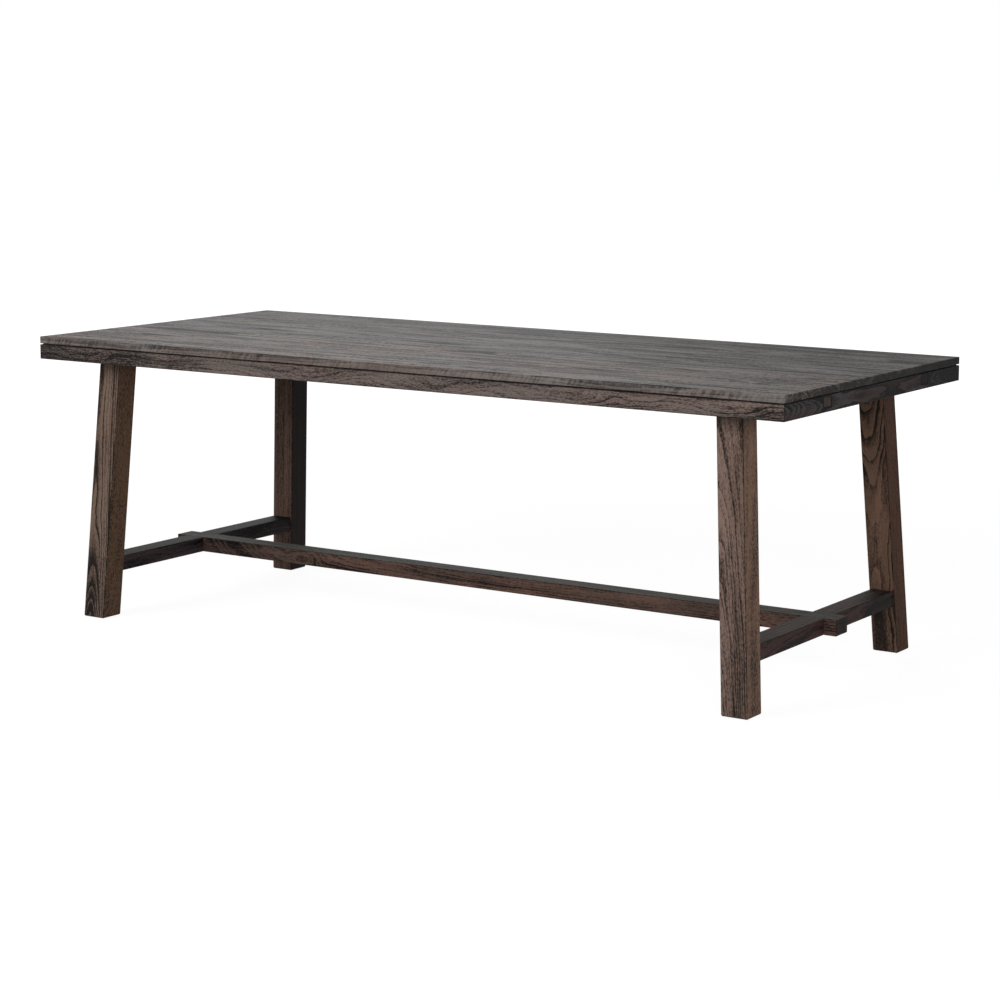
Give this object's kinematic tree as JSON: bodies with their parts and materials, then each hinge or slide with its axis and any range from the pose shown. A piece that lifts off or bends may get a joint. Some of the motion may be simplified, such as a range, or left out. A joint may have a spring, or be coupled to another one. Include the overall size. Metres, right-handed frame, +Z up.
{
  "type": "extending dining table",
  "caption": "Rectangular oak trestle table with splayed legs, a mitred apron, a lapped stretcher and battens that slide out of the ends to carry a loose leaf.",
  "frame": {"origin": "on the floor under the middle of the top", "axes": "+X along the table's length, +Y across it to the back, +Z up"},
  "size_m": [2.2, 0.95, 0.75],
  "materials": {
    "oak_top": "matt dark smoked oak",
    "oak_frame": "matt dark smoked oak",
    "oak_inner": "matt dark stained oak",
    "oak_slides": "matt dark stained oak",
    "steel": "zinc plated",
    "brass": "plain",
    "glide_plastic": "matt black"
  },
  "bodies": {
    "table": {"top_board_1": "oak_top", "top_board_2": "oak_top", "top_board_3": "oak_top", "top_board_4": "oak_top", "top_board_5": "oak_top", "top_board_6": "oak_top", "top_board_7": "oak_top", "apron_front": "oak_frame", "apron_back": "oak_frame", "apron_left": "oak_frame", "apron_right": "oak_frame", "leg_back_right": "oak_frame", "leg_front_right": "oak_frame", "leg_back_left": "oak_frame", "leg_front_left": "oak_frame", "cross_rail_right": "oak_frame", "cross_rail_left": "oak_frame", "stretcher": "oak_frame", "spacer_strip_front": "oak_inner", "spacer_strip_back": "oak_inner", "spacer_strip_left": "oak_inner", "spacer_strip_right": "oak_inner", "corner_block_back_right": "oak_inner", "corner_block_front_right": "oak_inner", "corner_block_back_left": "oak_inner", "corner_block_front_left": "oak_inner", "head_bearer_right": "oak_inner", "head_bearer_left": "oak_inner", "middle_bearer": "oak_inner", "guide_inner_back_right": "oak_slides", "guide_inner_front_right": "oak_slides", "guide_inner_back_left": "oak_slides", "guide_inner_front_left": "oak_slides", "guide_outer_back_right": "oak_slides", "guide_outer_front_right": "oak_slides", "guide_outer_back_left": "oak_slides", "guide_outer_front_left": "oak_slides", "stop_block_back_right": "oak_slides", "stop_block_front_right": "oak_slides", "stop_block_back_left": "oak_slides", "stop_block_front_left": "oak_slides", "top_bolts": "steel", "top_bolt_washers": "steel", "apron_screws": "steel", "guide_screws": "steel", "lap_screws": "steel", "thread_inserts": "brass", "glide_back_right": "glide_plastic", "glide_front_right": "glide_plastic", "glide_back_left": "glide_plastic", "glide_front_left": "glide_plastic"},
    "batten_back_right": {"batten_back_right": "oak_slides", "stop_pin_back_right": "steel"},
    "batten_front_right": {"batten_front_right": "oak_slides", "stop_pin_front_right": "steel"},
    "batten_back_left": {"batten_back_left": "oak_slides", "stop_pin_back_left": "steel"},
    "batten_front_left": {"batten_front_left": "oak_slides", "stop_pin_front_left": "steel"}
  },
  "joints": [
    {"name": "batten_back_right_slide", "type": "slide", "parent": "table", "child": "batten_back_right", "axis": [1, 0, 0], "range_m": [0, 0.48]},
    {"name": "batten_front_right_slide", "type": "slide", "parent": "table", "child": "batten_front_right", "axis": [1, 0, 0], "range_m": [0, 0.48]},
    {"name": "batten_back_left_slide", "type": "slide", "parent": "table", "child": "batten_back_left", "axis": [-1, 0, 0], "range_m": [0, 0.48]},
    {"name": "batten_front_left_slide", "type": "slide", "parent": "table", "child": "batten_front_left", "axis": [-1, 0, 0], "range_m": [0, 0.48]}
  ]
}
